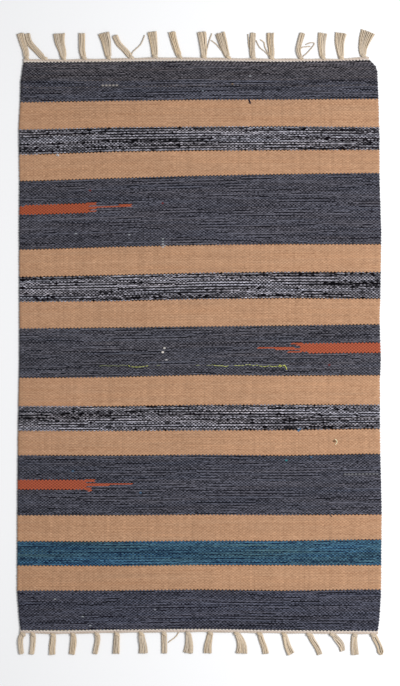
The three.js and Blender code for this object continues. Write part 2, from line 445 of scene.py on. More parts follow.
WHITE, BLUE, RED = (168, 172, 176), (78, 104, 132), (104, 48, 50)
FLECKS = (
    Fleck(100.5, 117.5, 85.4, (154, 148, 144)),
    Fleck(342, 378.6, 473.8, (111, 111, 115)),
    dot(232.6, 84.7, (158, 136, 112), 0),
    dot(201.7, 91.5, (122, 130, 140), 0),
    *(dot(*place, WHITE, 0) for place in ((248.8, 76), (74.5, 234.6), (128, 234.5))),
    *(dot(*place, WHITE, 0) for place in ((55, 600), (81, 617.6))),
    *(dot(164.5, row, WHITE, 1) for row in (238, 240.7, 243.4, 246.1)),
    dot(163.8, 348.7, (202, 198, 194)),
    dot(163.8, 352.2, (236, 228, 220)),
    dot(167.5, 360.3, (206, 204, 202), 0),
    # Painted shadow in the hole of the cream loop of thread that lies on the tan
    dot(334, 441.6, (104, 76, 54)),
    *(dot(*place, BLUE) for place in ((72, 471), (140, 492.7), (299, 430), (310, 456.5))),
    dot(286, 460.6, (60, 120, 128)),
    *(dot(*place, RED) for place in ((91.5, 190), (162.5, 203), (329, 365.5))),
    dot(91.5, 625.5, WHITE, 1),
    dot(154, 610, (138, 140, 148), 0),
)


@dataclass(frozen=True)
class ClothPlan:
    """Where the warps and picks of the cloth lie, in millimetres.

    The relief is how far a float's middle stands above the pits beside it. The valleys between
    floats and the crowns' shoulders are shares of it. The cloth rounds down to its selvedge over
    the last turn_warps, and the floats bulge there by turns.
    """

    width: float = 598
    warps: int = 204
    pick_pitch: float = 2.23
    thickness: float = 4.0
    relief: float = 1.15
    valley: float = 0.42
    crown: float = 0.84
    under_relief: float = 0.6
    unevenness: float = 0.06
    turn_warps: float = 1.4
    selvedge_bulge: float = 0.5
    selvedge_unevenness: float = 0.2
    fitting_passes: int = 3
    noise_seed: int = 5
    noise_count: int = 4096
    noise_steps: tuple[int, int] = (31, 17)
    unroll_gap: float = 1.0

    def pick_counts(self) -> list[int]:
        """How many picks each stripe holds."""
        middle = [row[len(row) // 2] for row in BORDERS]
        return [round((a - b) / self.pick_pitch) for a, b in zip(middle, middle[1:])]

    def border_rows(self) -> np.ndarray:
        """The pick number at which each border between stripes lies."""
        return np.concatenate([[0], np.cumsum(self.pick_counts())]) - 0.5

    def shift(self) -> np.ndarray:
        """How far the middle that the tables start from lies from the frame's own.

        Returns:
            The distances across and along, in millimetres.
        """
        low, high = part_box("woven_cloth")
        middle = (np.array(low) + np.array(high)) / 2 / MILLIMETRE
        across = [point.across for point in LEFT_SELVEDGE + RIGHT_SELVEDGE]
        along = [point.along for point in FAR_END + NEAR_END]
        own = np.array([(min(across) + max(across)) / 2, (min(along) + max(along)) / 2])
        return middle[:2] - own

    def places(self, warp: np.ndarray, pick: np.ndarray) -> tuple[np.ndarray, np.ndarray]:
        """Where points of the weave lie.

        Args:
            warp: Places across, in warps from the left selvedge.
            pick: Places along, in picks from the far end.

        Returns:
            Places across and along, in millimetres from the cloth's middle.
        """
        rows = self.border_rows()
        share = warp / self.warps
        stripe = np.clip(np.searchsorted(rows, pick) - 1, 0, len(STRIPES) - 1)
        within = (pick - rows[stripe]) / (rows[stripe + 1] - rows[stripe])
        along = np.interp(pick, rows, [row[len(row) // 2] for row in BORDERS])
        across = np.zeros_like(along)
        for _ in range(self.fitting_passes):
            left = edge_at(LEFT_SELVEDGE, along)
            right = edge_at(RIGHT_SELVEDGE, along)
            across = left + (right - left) * share
            ends = np.stack([np.interp(across, BORDER_STATIONS, row) for row in BORDERS])
            index = np.arange(len(pick))
            far, near = ends[stripe, index], ends[stripe + 1, index]
            along = far + (near - far) * within
        return across, along

    def own_noise(self, a: np.ndarray, b: np.ndarray) -> np.ndarray:
        """A fixed share of normal noise for each point of the half-step lattice."""
        noise = np.random.default_rng(self.noise_seed).standard_normal(self.noise_count)
        return noise[(a * self.noise_steps[0] + b * self.noise_steps[1]) % self.noise_count]


def edge_at(edge: Sequence[EdgePoint], along: np.ndarray) -> np.ndarray:
    """Where a selvedge lies across the rug at places along it."""
    points = sorted(edge)
    return np.interp(along, [p.along for p in points], [p.across for p in points])


def end_at(end: Sequence[EndPoint], across: np.ndarray | float) -> np.ndarray:
    """Where a woven end lies along the rug at places across it."""
    return np.interp(across, [p.across for p in end], [p.along for p in end])


class Part(NamedTuple):
    """A closed mesh in metres, and where its triangles' corners lie on it when unrolled."""

    vertices: np.ndarray
    faces: np.ndarray
    run: np.ndarray
    girth: np.ndarray


# The corner colours of every yarn, which hold its dye with the painted shade multiplied in
COLOUR_LAYER = "yarn_colour_with_painted_shade"
UNROLLED_LAYER = "OFBake"
UNROLL_GAP = 0.4


def set_inputs(node: bpy.types.Node, inputs: dict[str | int, object]) -> None:
    """Sets a node's sockets, or links them where an output is given.

    Args:
        node: The node.
        inputs: A value or another node's output for each socket, by its name or number.
    """
    for name, value in inputs.items():
        if isinstance(value, bpy.types.NodeSocket):
            node.id_data.links.new(value, node.inputs[name])
        else:
            node.inputs[name].default_value = value


def add_node(
    tree: bpy.types.NodeTree, kind: str, inputs: dict[str | int, object], **settings: str
) -> bpy.types.Node:
    """Adds a node to a material.

    Args:
        tree: The material's nodes.
        kind: The node's type, without the word that all of them start with.
        inputs: What its sockets are set to or linked to.
        settings: The node's own settings.

    Returns:
        The node.
    """
    node = tree.nodes.new("ShaderNode" + kind)
    for name, value in settings.items():
        setattr(node, name, value)
    set_inputs(node, inputs)
    return node


@dataclass(frozen=True)
class YarnFinish:
    """A matte spun cotton, whose base colour comes from each yarn's colour on the mesh, painted shade
    included.
    """

    name: str
    slot: str
    roughness: float = 0.9
    sheen: float = 0.03
    sheen_roughness: float = 0.5
    level: float = 0.08
    fibre_depth: float = 0.2
    fibre_scale: float = 1800
    fibre_stretch: tuple[float, float, float] = (0.3, 1, 1)
    fibre_range: tuple[float, float] = (0.3, 0.7)
    twist_scale: float = 1 / (1.3 * MILLIMETRE) / 6
    twist_share: float = 0.5
    bump: float = 0.45
    bump_height: float = 0.2 * MILLIMETRE

    def material(self) -> bpy.types.Material:
        """Builds the finish as a node material.

        Returns:
            The material: fibre streaks in the yarn's colour with its painted shade, and a bump of fibres
                and twist ridges.
        """
        made = bpy.data.materials.new(self.name)
        made.use_nodes = True
        tree = made.node_tree
        place = add_node(tree, "TexCoord", {}).outputs["Object"]
        yarn = add_node(tree, "Attribute", {}, attribute_name=COLOUR_LAYER).outputs["Color"]
        stretch = {"Vector": place, "Scale": self.fibre_stretch}
        stretched = add_node(tree, "Mapping", stretch).outputs["Vector"]
        noise = {"Vector": stretched, "Scale": self.fibre_scale, "Detail": 3, "Roughness": 0.6}
        fibres = add_node(tree, "TexNoise", noise).outputs["Fac"]
        low, high = self.fibre_range
        depths = {"To Min": 1 - self.fibre_depth, "To Max": 1 + self.fibre_depth}
        streaks = add_node(tree, "MapRange", {"Value": fibres, "From Min": low, "From Max": high, **depths})
        shades = {0: yarn, 1: streaks.outputs["Result"]}
        tint = add_node(tree, "VectorMath", shades, operation="MULTIPLY")
        ripple = {"Distortion": 4, "Detail": 2, "Detail Scale": 1.5}
        wave = {"Vector": place, "Scale": self.twist_scale, **ripple}
        bands = {"wave_type": "BANDS", "bands_direction": "DIAGONAL"}
        twist = add_node(tree, "TexWave", wave, **bands).outputs["Fac"]
        heights = {0: twist, 1: self.twist_share, 2: fibres}
        ridges = add_node(tree, "Math", heights, operation="MULTIPLY_ADD").outputs["Value"]
        raising = {"Height": ridges, "Strength": self.bump, "Distance": self.bump_height}
        raised = add_node(tree, "Bump", raising)
        surface = {"Base Color": tint.outputs["Vector"], "Normal": raised.outputs["Normal"]}
        gloss = {"Roughness": self.roughness, "Specular IOR Level": self.level}
        sheen = {"Sheen Weight": self.sheen, "Sheen Roughness": self.sheen_roughness}
        set_inputs(tree.nodes["Principled BSDF"], surface | gloss | sheen)
        return made


WEFT_FINISHES = {
    Weft.NAVY: YarnFinish("faded_navy_cotton", Weft.NAVY.value),
    Weft.TAN: YarnFinish("tan_cotton", Weft.TAN.value, fibre_depth=0.1),
    Weft.MELANGE: YarnFinish("black_and_white_cotton", Weft.MELANGE.value),
    Weft.TEAL: YarnFinish("teal_cotton", Weft.TEAL.value),
}
LOOSE_FINISH = YarnFinish("slub_cotton", "woven_cotton")
FRINGE_FINISH = YarnFinish("undyed_cotton", "cotton_fringe", fibre_depth=0.12)


def fold_strip(run: np.ndarray, girth: np.ndarray, height: float, gap: float) -> np.ndarray:
    """Folds one long strip of triangles into rows that fill a square.

    Args:
        run: How far along the strip each corner lies, n by 3.
        girth: How far across it each corner lies, n by 3.
        height: The strip's height.
        gap: The room left between rows.

    Returns:
        Places in the unit square, n by 3 by 2.
    """
    start = run.min(axis=1)
    side = math.sqrt(run.max() * (height + gap))
    row = np.floor(start / side)
    rows = row.max() + 1
    u = run - (row * side)[:, None]
    v = girth + (row * (height + gap))[:, None]
    size = max(u.max(), rows * (height + gap))
    return np.stack([u, v], axis=2) / size


class MeshParts:
    """Vertices and coloured triangles gathered for one mesh."""

    def __init__(self) -> None:
        """Starts with nothing gathered."""
        self.vertices: list[np.ndarray] = []
        self.faces: list[np.ndarray] = []
        self.colours: list[np.ndarray] = []
        self.runs: list[np.ndarray] = []
        self.girths: list[np.ndarray] = []
        self.count = 0
        self.length = 0.0

    def add(self, part: Part, colours: np.ndarray) -> None:
        """Adds a closed part.

        Args:
            part: The part's mesh.
            colours: A linear colour for each triangle, n by 3, or one for them all.
        """
        self.vertices.append(part.vertices)
        self.faces.append(part.faces + self.count)
        own = np.broadcast_to(colours, (len(part.faces), 3))
        self.colours.append(np.repeat(own[:, None], 3, axis=1))
        self.runs.append(part.run + self.length)
        self.girths.append(part.girth)
        self.count += len(part.vertices)
        self.length = float(self.runs[-1].max()) + UNROLL_GAP

    def build(self, name: str, finish: YarnFinish) -> bpy.types.Object:
        """Makes one object of everything gathered, smooth and with its yarn colours.

        Args:
            name: The piece's name.
            finish: Its finish.

        Returns:
            The object.
        """
        girth = np.concatenate(self.girths)
        return mesh_object(
            name,
            np.concatenate(self.vertices),
            np.concatenate(self.faces),
            np.concatenate(self.colours),
            finish,
            fold_strip(np.concatenate(self.runs), girth, girth.max(), UNROLL_GAP),
        )


def mesh_object(
    name: str,
    vertices: np.ndarray,
    faces: np.ndarray,
    colours: np.ndarray,
    finish: YarnFinish,
    places: np.ndarray,
    flat: np.ndarray | bool = False,
) -> bpy.types.Object:
    """Makes a smooth triangle mesh whose corners carry their yarn's colour.

    Args:
        name: The piece's name.
        vertices: Points in metres, n by 3.
        faces: Triangles, m by 3.
        colours: Linear colours of each triangle's corners, m by 3 by 3.
        finish: The finish that reads the colours.
        places: Where each triangle's corners lie when unrolled in a unit square, m by 3 by 2.
        flat: Which of the triangles are shaded flat.

    Returns:
        The object, linked to the scene.
    """
    mesh = bpy.data.meshes.new(name)
    mesh.vertices.add(len(vertices))
    mesh.vertices.foreach_set("co", vertices.astype(np.float32).ravel())
    mesh.loops.add(3 * len(faces))
    mesh.loops.foreach_set("vertex_index", faces.astype(np.int32).ravel())
    mesh.polygons.add(len(faces))
    mesh.polygons.foreach_set("loop_start", np.arange(0, 3 * len(faces), 3, dtype=np.int32))
    smooth = np.broadcast_to(np.logical_not(flat), len(faces))
    mesh.polygons.foreach_set("use_smooth", np.ascontiguousarray(smooth))
    mesh.update(calc_edges=True)
    mesh.validate()
    layer = mesh.attributes.new(COLOUR_LAYER, "FLOAT_COLOR", "CORNER")
    rgba = np.concatenate([colours, np.ones((len(colours), 3, 1))], axis=2)
    layer.data.foreach_set("color", rgba.astype(np.float32).ravel())
    unrolled = mesh.uv_layers.new(name=UNROLLED_LAYER)
    unrolled.data.foreach_set("uv", places.astype(np.float32).ravel())
    mesh.materials.append(finish.material())
    made = bpy.data.objects.new(name, mesh)
    bpy.context.scene.collection.objects.link(made)
    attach(made, BODY)
    return made


# Points of the weave are numbered by half steps of warps and picks, the underside's from UNDER_KEYS up
KEY_MARGIN = 4
UNDER_KEYS = 10_000_000
EAST, WEST, NORTH, SOUTH = (2, 0), (-2, 0), (0, -2), (0, 2)
NORTH_EAST, NORTH_WEST, SOUTH_EAST, SOUTH_WEST = (1, -1), (-1, -1), (1, 1), (-1, 1)
MIDDLE, RIGHT = (0, 0), (1, 0)


class Strand(Enum):
    """Which of a float's two strands a triangle belongs to."""

    FARTHER = 0
    NEARER = 1


class Side(Enum):
    """Which side of the cloth a triangle is on."""

    TOP = 0
    UNDER = 1
    WALL = 2


class Facet(NamedTuple):
    """A triangle of a float: its corners as half steps from the float's middle, and its strand."""

    corners: tuple[tuple[int, int], tuple[int, int], tuple[int, int]]
    strand: Strand


RIGHT_HALF = (
    Facet((MIDDLE, RIGHT, NORTH_EAST), Strand.FARTHER),
    Facet((RIGHT, EAST, NORTH_EAST), Strand.FARTHER),
    Facet((MIDDLE, SOUTH_EAST, RIGHT), Strand.NEARER),
    Facet((RIGHT, SOUTH_EAST, EAST), Strand.NEARER),
)
TIPS = (
    Facet((MIDDLE, NORTH_EAST, NORTH_WEST), Strand.FARTHER),
    Facet((NORTH_EAST, NORTH, NORTH_WEST), Strand.FARTHER),
    Facet((MIDDLE, SOUTH_WEST, SOUTH_EAST), Strand.NEARER),
    Facet((SOUTH_WEST, SOUTH, SOUTH_EAST), Strand.NEARER),
)
RIGHT_TIPS = (
    Facet((MIDDLE, NORTH_EAST, NORTH), Strand.FARTHER),
    Facet((MIDDLE, SOUTH, SOUTH_EAST), Strand.NEARER),
)
RIGHT_UNDER = (
    Facet((MIDDLE, NORTH, EAST), Strand.FARTHER),
    Facet((MIDDLE, EAST, SOUTH), Strand.NEARER),
)
FAR_WALLS = ((WEST, NORTH_WEST, NORTH), (NORTH, NORTH_EAST, EAST))
NEAR_WALLS = ((EAST, SOUTH_EAST, SOUTH), (SOUTH, SOUTH_WEST, WEST))


def mirrored(facets: Sequence[Facet]) -> tuple[Facet, ...]:
    """The same triangles on a float's other side, turned so that they face as before.

    Args:
        facets: The triangles on the right.

    Returns:
        Those on the left.
    """
    turned = []
    for corners, strand in facets:
        first, second, third = ((-across, along) for across, along in corners)
        turned.append(Facet((first, third, second), strand))
    return tuple(turned)


@dataclass
class Stripe:
    """One stripe of the cloth: every float of its weft, over and under the warps."""

    number: int
    weft: Weft
    first_pick: int
    picks: int
    plan: ClothPlan
    inlays: tuple[Inlay, ...] = ()
    seed: int = 20
    lot_mixing: float = 0.09

    def __post_init__(self) -> None:
        """Makes the stripe's own seeded source of variation."""
        self.rng = np.random.default_rng(self.seed + self.number)
        self.columns = self.plan.warps + 1

    def floats(self) -> tuple[np.ndarray, np.ndarray]:
        """Which floats the stripe has, halves at the selvedges included.

        Returns:
            Their warp numbers and their pick numbers.
        """
        pick, warp = np.mgrid[self.first_pick : self.first_pick + self.picks, 0 : self.columns]
        taken = (pick + warp) % 2 == 0
        return warp[taken], pick[taken]

    def key(self, a: np.ndarray, b: np.ndarray, under: bool) -> np.ndarray:
        """Numbers points of the half-step lattice, the same above and below at a selvedge.

        Args:
            a: Places across, in half warps.
            b: Places along, in half picks.
            under: Whether the points are on the underside.

        Returns:
            A number for each point.
        """
        width = 2 * self.plan.warps + 1
        base = (b + KEY_MARGIN) * width + a
        at_edge = (a == 0) | (a == width - 1)
        return np.where(at_edge | (not under), base, base + UNDER_KEYS)

    def faces(self) -> tuple[np.ndarray, np.ndarray, np.ndarray, np.ndarray]:
        """Triangles of the whole stripe by lattice keys.

        Returns:
            Keys, n by 3; the float that each triangle belongs to; which strand of it; and
            which side of the cloth it is on, as numbered by Side.
        """
        warp, pick = self.floats()
        last = self.first_pick + self.picks - 1
        has_right = warp < self.plan.warps
        has_left = warp > 0
        groups = (
            (RIGHT_HALF, has_right, Side.TOP),
            (mirrored(RIGHT_HALF), has_left, Side.TOP),
            (TIPS, has_right & has_left, Side.TOP),
            (RIGHT_TIPS, has_right & ~has_left, Side.TOP),
            (mirrored(RIGHT_TIPS), has_left & ~has_right, Side.TOP),
            (RIGHT_UNDER, has_right, Side.UNDER),
            (mirrored(RIGHT_UNDER), has_left, Side.UNDER),
        )
        keys, owners, strands, sides = [], [], [], []
        number = np.arange(len(warp))

        def corner(step: tuple[int, int], chosen: np.ndarray, under: bool) -> np.ndarray:
            """Keys of one corner of each chosen float."""
            return self.key(2 * warp[chosen] + step[0], 2 * pick[chosen] + step[1], under)

        def take(corners: list[np.ndarray], chosen: np.ndarray, strand: Strand, side: Side) -> None:
            """Keeps one triangle of each chosen float, unless it has shrunk to a line.

            Args:
                corners: The keys of its three corners, for each chosen float.
                chosen: Which floats have the triangle.
                strand: The strand that it belongs to.
                side: The side of the cloth that it is on.
            """
            triangle = np.stack(corners, axis=1)
            whole = (triangle != np.roll(triangle, 1, axis=1)).all(axis=1)
            keys.append(triangle[whole])
            owners.append(number[chosen][whole])
            strands.append(np.full(whole.sum(), strand.value))
            sides.append(np.full(whole.sum(), side.value))

        for facets, chosen, side in groups:
            for steps, strand in facets:
                corners = [corner(step, chosen, side is Side.UNDER) for step in steps]
                take(corners, chosen, strand, side)
        rims = (
            (FAR_WALLS, pick == self.first_pick, Strand.FARTHER),
            (NEAR_WALLS, pick == last, Strand.NEARER),
        )
        for walls, row, strand in rims:
            for start, middle, end in walls:
                chosen = row & (has_right if EAST in (start, end) else has_left)
                top = [corner(step, chosen, False) for step in (start, middle, end)]
                low = [corner(step, chosen, True) for step in (start, end)]
                take([top[0], top[1], low[0]], chosen, strand, Side.WALL)
                take([top[1], top[2], low[1]], chosen, strand, Side.WALL)
                take([top[1], low[1], low[0]], chosen, strand, Side.WALL)
        return tuple(np.concatenate(each) for each in (keys, owners, strands, sides))

    def split(self, keys: np.ndarray) -> tuple[np.ndarray, np.ndarray, np.ndarray]:
        """What keys stand for.

        Args:
            keys: The keys of lattice points.

        Returns:
            Their half steps across and along, and whether they are on the underside.
        """
        under = keys >= UNDER_KEYS
        width = 2 * self.plan.warps + 1
        b, a = np.divmod(np.where(under, keys - UNDER_KEYS, keys), width)
        return a, b - KEY_MARGIN, under

    def unroll(self, keys: np.ndarray, sides: np.ndarray) -> np.ndarray:
        """Where the triangles' corners lie when the stripe's two sides are laid out flat.

        Args:
            keys: The lattice keys of the triangles, n by 3.
            sides: Which side of the cloth each is on.

        Returns:
            Places in the unit square, n by 3 by 2.
        """
        a, b, under = self.split(keys)
        height = self.picks * self.plan.pick_pitch + 2 * self.plan.thickness
        x = a / 2 / self.plan.warps * self.plan.width
        y = (b / 2 - self.first_pick + 1) * self.plan.pick_pitch + self.plan.thickness
        far = b <= 2 * self.first_pick + 1
        outward = np.where(far, -self.plan.thickness, self.plan.thickness) / 2
        y = y + outward * ((sides == Side.WALL.value)[:, None] & under)
        x = x + (sides == Side.UNDER.value)[:, None] * (self.plan.width + self.plan.thickness)
        return fold_strip(x, y, height, self.plan.unroll_gap)

    def points(self, keys: np.ndarray) -> np.ndarray:
        """Where the lattice points lie.

        Args:
            keys: The lattice keys of the vertices.

        Returns:
            Points in metres, n by 3.
        """
        plan = self.plan
        a, b, under = self.split(keys)
        warp, pick = a / 2, b / 2
        across, along = plan.places(warp, pick)
        even = (a % 2 == 0) & (b % 2 == 0)
        centre = even & ((a // 2 + b // 2) % 2 == 0)
        pit = even & ~centre
        beside = (a % 2 == 1) & (b % 2 == 0)
        height = np.full(len(keys), plan.thickness - plan.relief * (1 - plan.valley))
        height[centre] = plan.thickness
        height[pit] = plan.thickness - plan.relief
        height[beside] = plan.thickness - plan.relief * (1 - plan.crown)
        depth = np.where(centre, 0.0, plan.under_relief)
        z = np.where(under, depth, height)
        own = plan.own_noise(a, b)
        z = z + np.where(under, 0, plan.unevenness) * own
        edge = np.minimum(warp, plan.warps - warp)
        turn = np.sqrt(1 - (1 - np.clip(edge / plan.turn_warps, 0, 1)) ** 2)
        half = plan.thickness / 2
        z = half + (z - half) * turn
        outward = np.where(warp < plan.warps / 2, -1, 1) * (edge == 0)
        bulge = np.where(centre, plan.selvedge_bulge, -plan.selvedge_bulge)
        across = across + outward * (bulge + plan.selvedge_unevenness * own)
        shift = plan.shift()
        return np.stack([across + shift[0], along + shift[1], z], axis=1) * MILLIMETRE

    def lots(self) -> tuple[np.ndarray, np.ndarray]:
        """The dye lots of the picks, mixed a little where one lot follows another.

        Returns:
            Each pick's cast of colour, and how readily its strands meet in lines.
        """
        cast, lining = np.ones((self.picks, 3)), np.ones(self.picks)
        share = np.linspace(0, 1, self.picks) + self.rng.normal(0, self.lot_mixing, self.picks)
        for lot in reversed(DYE_LOTS):
            if lot.stripe == self.number:
                rows = (share <= lot.until) | (lot.until == 1)
                cast[rows], lining[rows] = lot.cast, lot.lining
        return cast, lining

    def add_fleck(
        self, fleck: Fleck, grid: np.ndarray, across: np.ndarray, along: np.ndarray
    ) -> None:
        """Colours the floats of a fleck, or the one nearest to it, where it lies in the stripe.

        Args:
            fleck: The fleck.
            grid: The strands' colours, 2 by picks by warps by 3, which it changes.
            across: The floats' places across the rug, in millimetres.
            along: Their places along it.
        """
        middle, row = from_photo((fleck.start + fleck.end) / 2, fleck.row)
        column = round((middle / self.plan.width + 0.5) * self.plan.warps)
        off_row = np.abs(along[:, column] - row)
        if off_row.min() < self.plan.pick_pitch:
            pick = off_row.argmin()
            off_middle = np.abs(across[pick] - middle)
            if fleck.start == fleck.end:
                own = (pick + self.first_pick + np.arange(self.columns)) % 2 == 0
                run = np.where(own, off_middle, np.inf).argmin()
            else:
                run = off_middle <= (fleck.end - fleck.start) / 2 * PHOTO_SCALE
            for strand in fleck.strands:
                grid[strand, pick, run] = dye(*fleck.colour)

    def strand_colours(self, warp: np.ndarray, pick: np.ndarray) -> np.ndarray:
        """The colours of each float's two strands.

        Args:
            warp: The floats' warp numbers.
            pick: Their pick numbers.

        Returns:
            Linear colours, 2 by n by 3, in the order of Strand.
        """
        cast, lining = self.lots()
        grid = YARNS[self.weft].colours(self.rng, lining, self.columns)
        grid *= cast[:, None, :]
        rows, columns = np.mgrid[0 : self.picks, 0 : self.columns]
        across, along = self.plan.places(
            columns.ravel().astype(float), (rows + self.first_pick).ravel().astype(float)
        )
        across, along = across.reshape(rows.shape), along.reshape(rows.shape)
        for inlay in self.inlays:
            for strand, beside in ((Strand.FARTHER, 0.5), (Strand.NEARER, -0.5)):
                inside = inlay.mask(across, along, beside * self.plan.pick_pitch)
                rough = 1 + inlay.unevenness * self.rng.standard_normal((*rows.shape, 1))
                grid[strand.value, inside] = (dye(*inlay.base) * rough)[inside]
        for fleck in FLECKS:
            self.add_fleck(fleck, grid, across, along)
        return grid[:, pick - self.first_pick, warp]

    def painted_corner_shades(self, keys: np.ndarray) -> np.ndarray:
        """The painted shade on a float's colour, from its crown to its pits, where the grooves fall in
        shadow.

        Args:
            keys: The keys of lattice points.

        Returns:
            The share of the colour that shows at each point under the painted shade.
        """
        a, b, _ = self.split(keys)
        yarn = YARNS[self.weft]
        crown = (a % 2 == 0) & ((a // 2 + b // 2) % 2 == 0)
        kinds = [crown, (a % 2 == 1) & (b % 2 == 0), a % 2 == 1]
        return np.select(kinds, [1, yarn.painted_end_shade, yarn.painted_valley_shade], yarn.painted_pit_shade)

    def build(self) -> bpy.types.Object:
        """Makes the stripe's mesh and dresses it.

        Returns:
            The stripe's object.
        """
        warp, pick = self.floats()
        keys, owners, strands, sides = self.faces()
        unique, index = np.unique(keys, return_inverse=True)
        colours = self.strand_colours(warp, pick)[strands, owners][:, None]
        # Painted shade: floats darken from their crowns into the valleys and pits between them
        colours = colours * self.painted_corner_shades(keys)[:, :, None]
        name = f"stripe_{self.number:02d}_{self.weft.name.lower()}"
        made = mesh_object(
            name,
            self.points(unique),
            index.reshape(-1, 3),
            colours,
            WEFT_FINISHES[self.weft],
            self.unroll(keys, sides),
            flat=sides == Side.WALL.value,
        )
        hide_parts("woven_cloth")
        return made

    def declare(self, made: bpy.types.Object, along: Sequence[bpy.types.Object]) -> None:
        """Does nothing with the stripe or the pieces that go with it.

        Args:
            made: The stripe's object; not used.
            along: The pieces that go with it; not used.
        """


@dataclass
class Cloth:
    """The woven cloth as its stripes, from the far end to the near one."""

    plan: ClothPlan = ClothPlan()
    stripes: list[Stripe] = field(default_factory=list)
    pieces: list[bpy.types.Object] = field(default_factory=list)

    def build(self) -> list[bpy.types.Object]:
        """Makes every stripe.

        Returns:
            The stripes' objects.
        """
        first = 0
        for number, (weft, picks) in enumerate(zip(STRIPES, self.plan.pick_counts()), 1):
            inlays = INLAYS if weft is Weft.NAVY else ()
            stripe = Stripe(number, weft, first, picks, self.plan, inlays)
            self.stripes.append(stripe)
            self.pieces.append(stripe.build())
            first += picks
        return self.pieces

    def declare(
        self, far: bpy.types.Object, near: bpy.types.Object, threads: bpy.types.Object
    ) -> None:
        """Passes each stripe its object and the pieces that go with it; nothing more is done with them.

        Args:
            far: The far fringe, which is fastened to the first stripe.
            near: The near fringe, which is fastened to the last one.
            threads: The loose threads, which go with the stripe in the middle.
        """
        fastened = {1: [far], len(STRIPES): [near], (len(STRIPES) + 1) // 2: [threads]}
        for stripe, piece in zip(self.stripes, self.pieces):
            stripe.declare(piece, fastened.get(stripe.number, []))


class TasselRow(NamedTuple):
    """A tassel: where its middle lies across the rug, its tips' spread, and its reach.

    The middle is given at the root, at a third and two thirds of the reach, and at the tip.
    """

    root: float
    third: float
    two_thirds: float
    tip: float
    spread: float
    reach: float
    looped: bool = False


FAR_TASSELS = table(
    TasselRow,
    (-286, -288.1, -293, -297, 12.5, 44), (-255.8, -268.9, -281.5, -286, 10.5, 44),
    (-225.2, -227, -231.2, -232.8, 19.8, 44), (-191.4, -194.7, -195, -195, 11.2, 44),
    (-150.5, -152.6, -154.9, -159.2, 19.8, 44), (-113, -122.4, -134.3, -140.6, 9.9, 39),
    (-74.2, -75.2, -77.1, -79.4, 15.5, 44), (-33, -38.8, -43.2, -46.2, 12.5, 44),
    (6.6, 6.1, 4.6, 2.5, 15.5, 44), (47, 41.6, 37.1, 33, 17, 43),
    (87.9, 86.6, 86.5, 87.6, 9.9, 44), (118.5, 118, 116.5, 116.3, 12.5, 44),
    (166.6, 162.4, 165.3, 169.1, 7.3, 44), (203.4, 201.5, 201.1, 202.9, 15.5, 44),
    (233.6, 231.7, 231, 233, 19.8, 44), (270.3, 269.1, 272.2, 277.5, 24.8, 44),
)
NEAR_TASSELS = table(
    TasselRow,
    (-292.1, -296.5, -296.3, -294.9, 7.1, 36), (-275.6, -275.7, -276.7, -278, 8.6, 36),
    (-242.5, -242.5, -243.9, -244.4, 11.5, 36), (-209.5, -209.1, -209.7, -211.5, 11.1, 36),
    (-170.3, -169.1, -170.8, -173.2, 6.9, 36), (-137.3, -137.3, -137.9, -139.3, 12.2, 36),
    (-97.3, -95.7, -94, -94, 15.7, 36), (-59.4, -58.9, -58.6, -59.1, 9.6, 36),
    (-19.8, -18.1, -18.1, -20, 16.2, 36), (17.3, 15.3, 13.2, 12.7, 14, 36),
    (60.2, 66.5, 69.1, 68.1, 19.8, 36), (98.2, 101.6, 106.1, 108.9, 10.7, 36),
    (138.6, 141.9, 144.9, 150.2, 13.2, 36), (179.8, 185.6, 193.4, 198.5, 9.9, 36),
    (217.8, 225.7, 233.3, 235.9, 9.9, 30), (255.8, 254.4, 254.6, 255.8, 13.2, 36),
    (285.5, 290.6, 295.7, 298, 11.5, 35, True),
)

# Yarns that have strayed from their tassels: places across, and beyond the heading's rim
FAR_STRAYS = (
    ((-113, 4), (-111, 10), (-99.3, 21), (-94.9, 28.5), (-91.2, 38)),
    ((9.1, 4), (12.6, 17.5), (16.4, 30.7), (19.8, 40.3)),
    ((44, 3), (33.5, 15), (27.6, 22.3), (18.6, 29.2)),
    ((86, 3), (80.9, 19.8), (79.9, 31.4), (79.2, 40.3)),
    ((115, 3), (107.1, 11.6), (98.3, 19), (92.7, 30.5)),
    ((115, 4), (107.7, 18.2), (105.9, 26.4), (99.5, 31.4)),
    ((168, 2), (178.2, 10.7), (188.8, 24.1), (184, 26.5), (174.5, 23.4)),
    ((163.5, 13), (168.5, 18.6), (175.5, 19.6), (182.5, 20.4)),
)
NEAR_STRAYS = (((-34, -1.5), (-39.9, 7.3), (-49.5, 14.7), (-52, 17.3)),)


def smooth_path(points: Sequence[Sequence[float]], count: int) -> np.ndarray:
    """Points on a smooth line through given ones.

    Args:
        points: The points that the line passes through.
        count: How many points to give.

    Returns:
        An array of count points.
    """
    given = np.asarray(points, dtype=float)
    last = len(given) - 1
    share = np.linspace(0, last, count)
    i = np.clip(np.floor(share).astype(int), 0, last - 1)
    w = (share - i)[:, None]
    before, here = given[np.maximum(i - 1, 0)], given[i]
    there, after = given[i + 1], given[np.minimum(i + 2, last)]
    leaving, arriving = (there - before) / 2, (after - here) / 2
    cubic = 2 * here - 2 * there + leaving + arriving
    square = -3 * here + 3 * there - 2 * leaving - arriving
    return cubic * w**3 + square * w**2 + leaving * w + here


def unit(vectors: np.ndarray) -> np.ndarray:
    """Each of the vectors at the length 1."""
    return vectors / np.linalg.norm(vectors, axis=1)[:, None]


def facing_up(vertices: np.ndarray, faces: np.ndarray) -> np.ndarray:
    """How far up triangles face.

    Args:
        vertices: Points, n by 3.
        faces: Triangles by their points' numbers, m by 3.

    Returns:
        The height of each one's normal, from -1 to 1.
    """
    first, second, third = (vertices[faces[:, corner]] for corner in range(3))
    normal = np.cross(second - first, third - first)
    return normal[:, 2] / np.maximum(np.linalg.norm(normal, axis=1), TINY)


class Surface(NamedTuple):
    """Triangles by their vertices' numbers, and where their corners lie along a yarn and round it."""

    faces: np.ndarray
    along: np.ndarray
    around: np.ndarray


